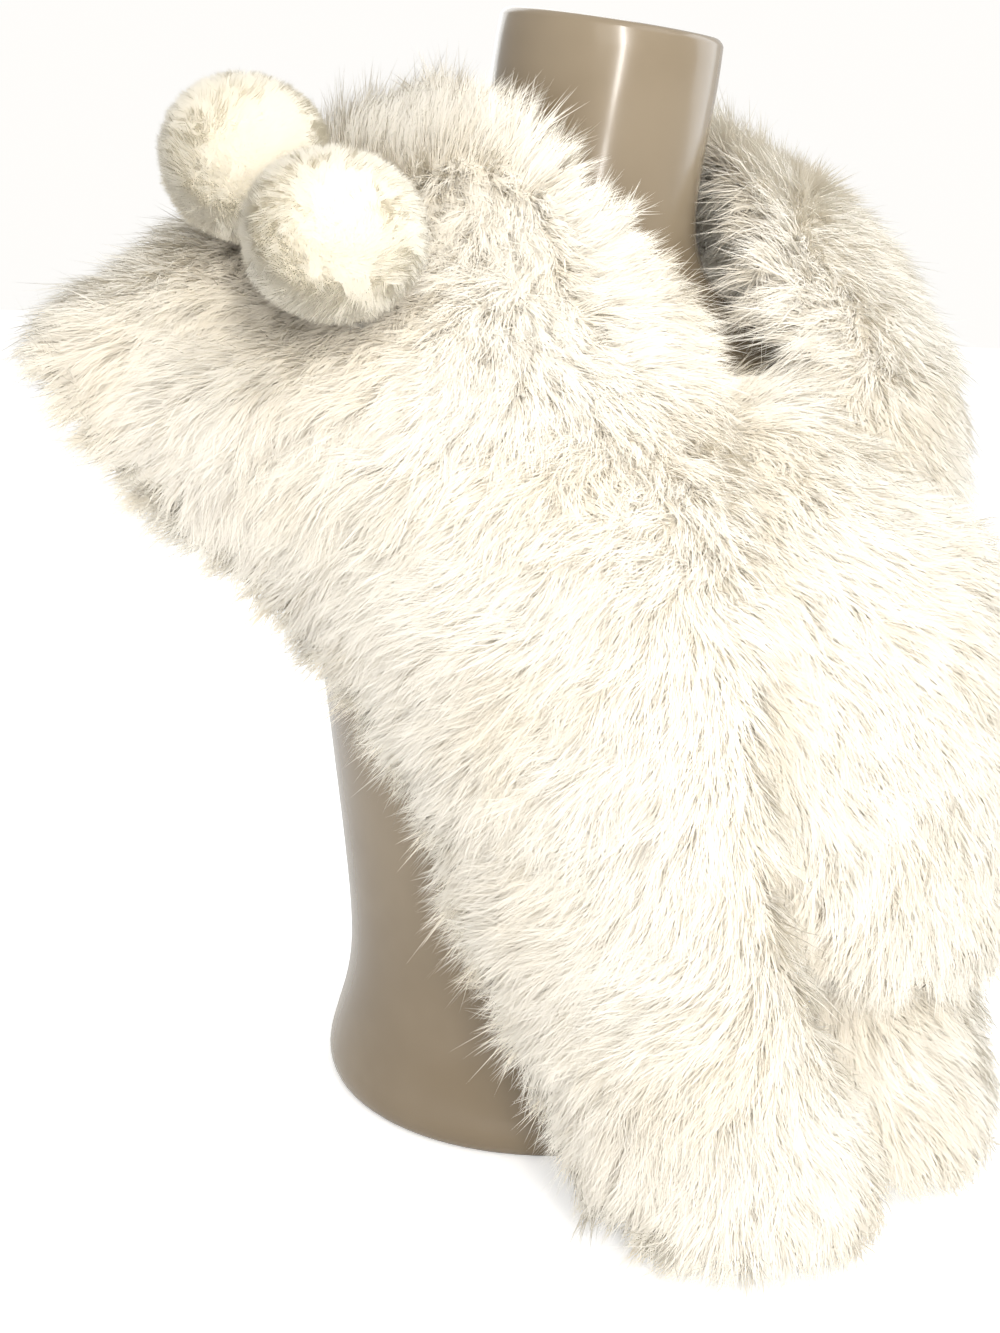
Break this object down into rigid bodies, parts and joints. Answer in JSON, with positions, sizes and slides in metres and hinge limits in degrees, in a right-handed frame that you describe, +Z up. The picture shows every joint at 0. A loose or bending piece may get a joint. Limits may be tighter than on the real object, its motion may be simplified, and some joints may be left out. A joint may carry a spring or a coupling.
{
  "type": "fur collar wrap on a torso form",
  "caption": "Thick white fur stole worn round the neck and crossed over the chest, with fur pompoms on one shoulder, on a limbless glossy torso form.",
  "frame": {"origin": "middle of the form's flat underside, on the surface that it stands on", "axes": "+Z up, -Y the way the form faces, +X the form's left"},
  "size_m": [0.5423, 0.4089, 0.5632],
  "materials": {
    "white_fur": "long soft warm-white fur in clumped locks",
    "pompom_fur": "short dense cream fur",
    "form_plastic": "glossy moulded taupe plastic"
  },
  "bodies": {
    "root": {"torso_form": "form_plastic", "front_stretch": "white_fur", "right_shoulder_stretch": "white_fur", "back_stretch": "white_fur", "left_shoulder_stretch": "white_fur", "left_end_stretch": "white_fur", "cross_stretch": "white_fur", "pompom_near": "pompom_fur", "pompom_far": "pompom_fur"}
  },
  "joints": []
}
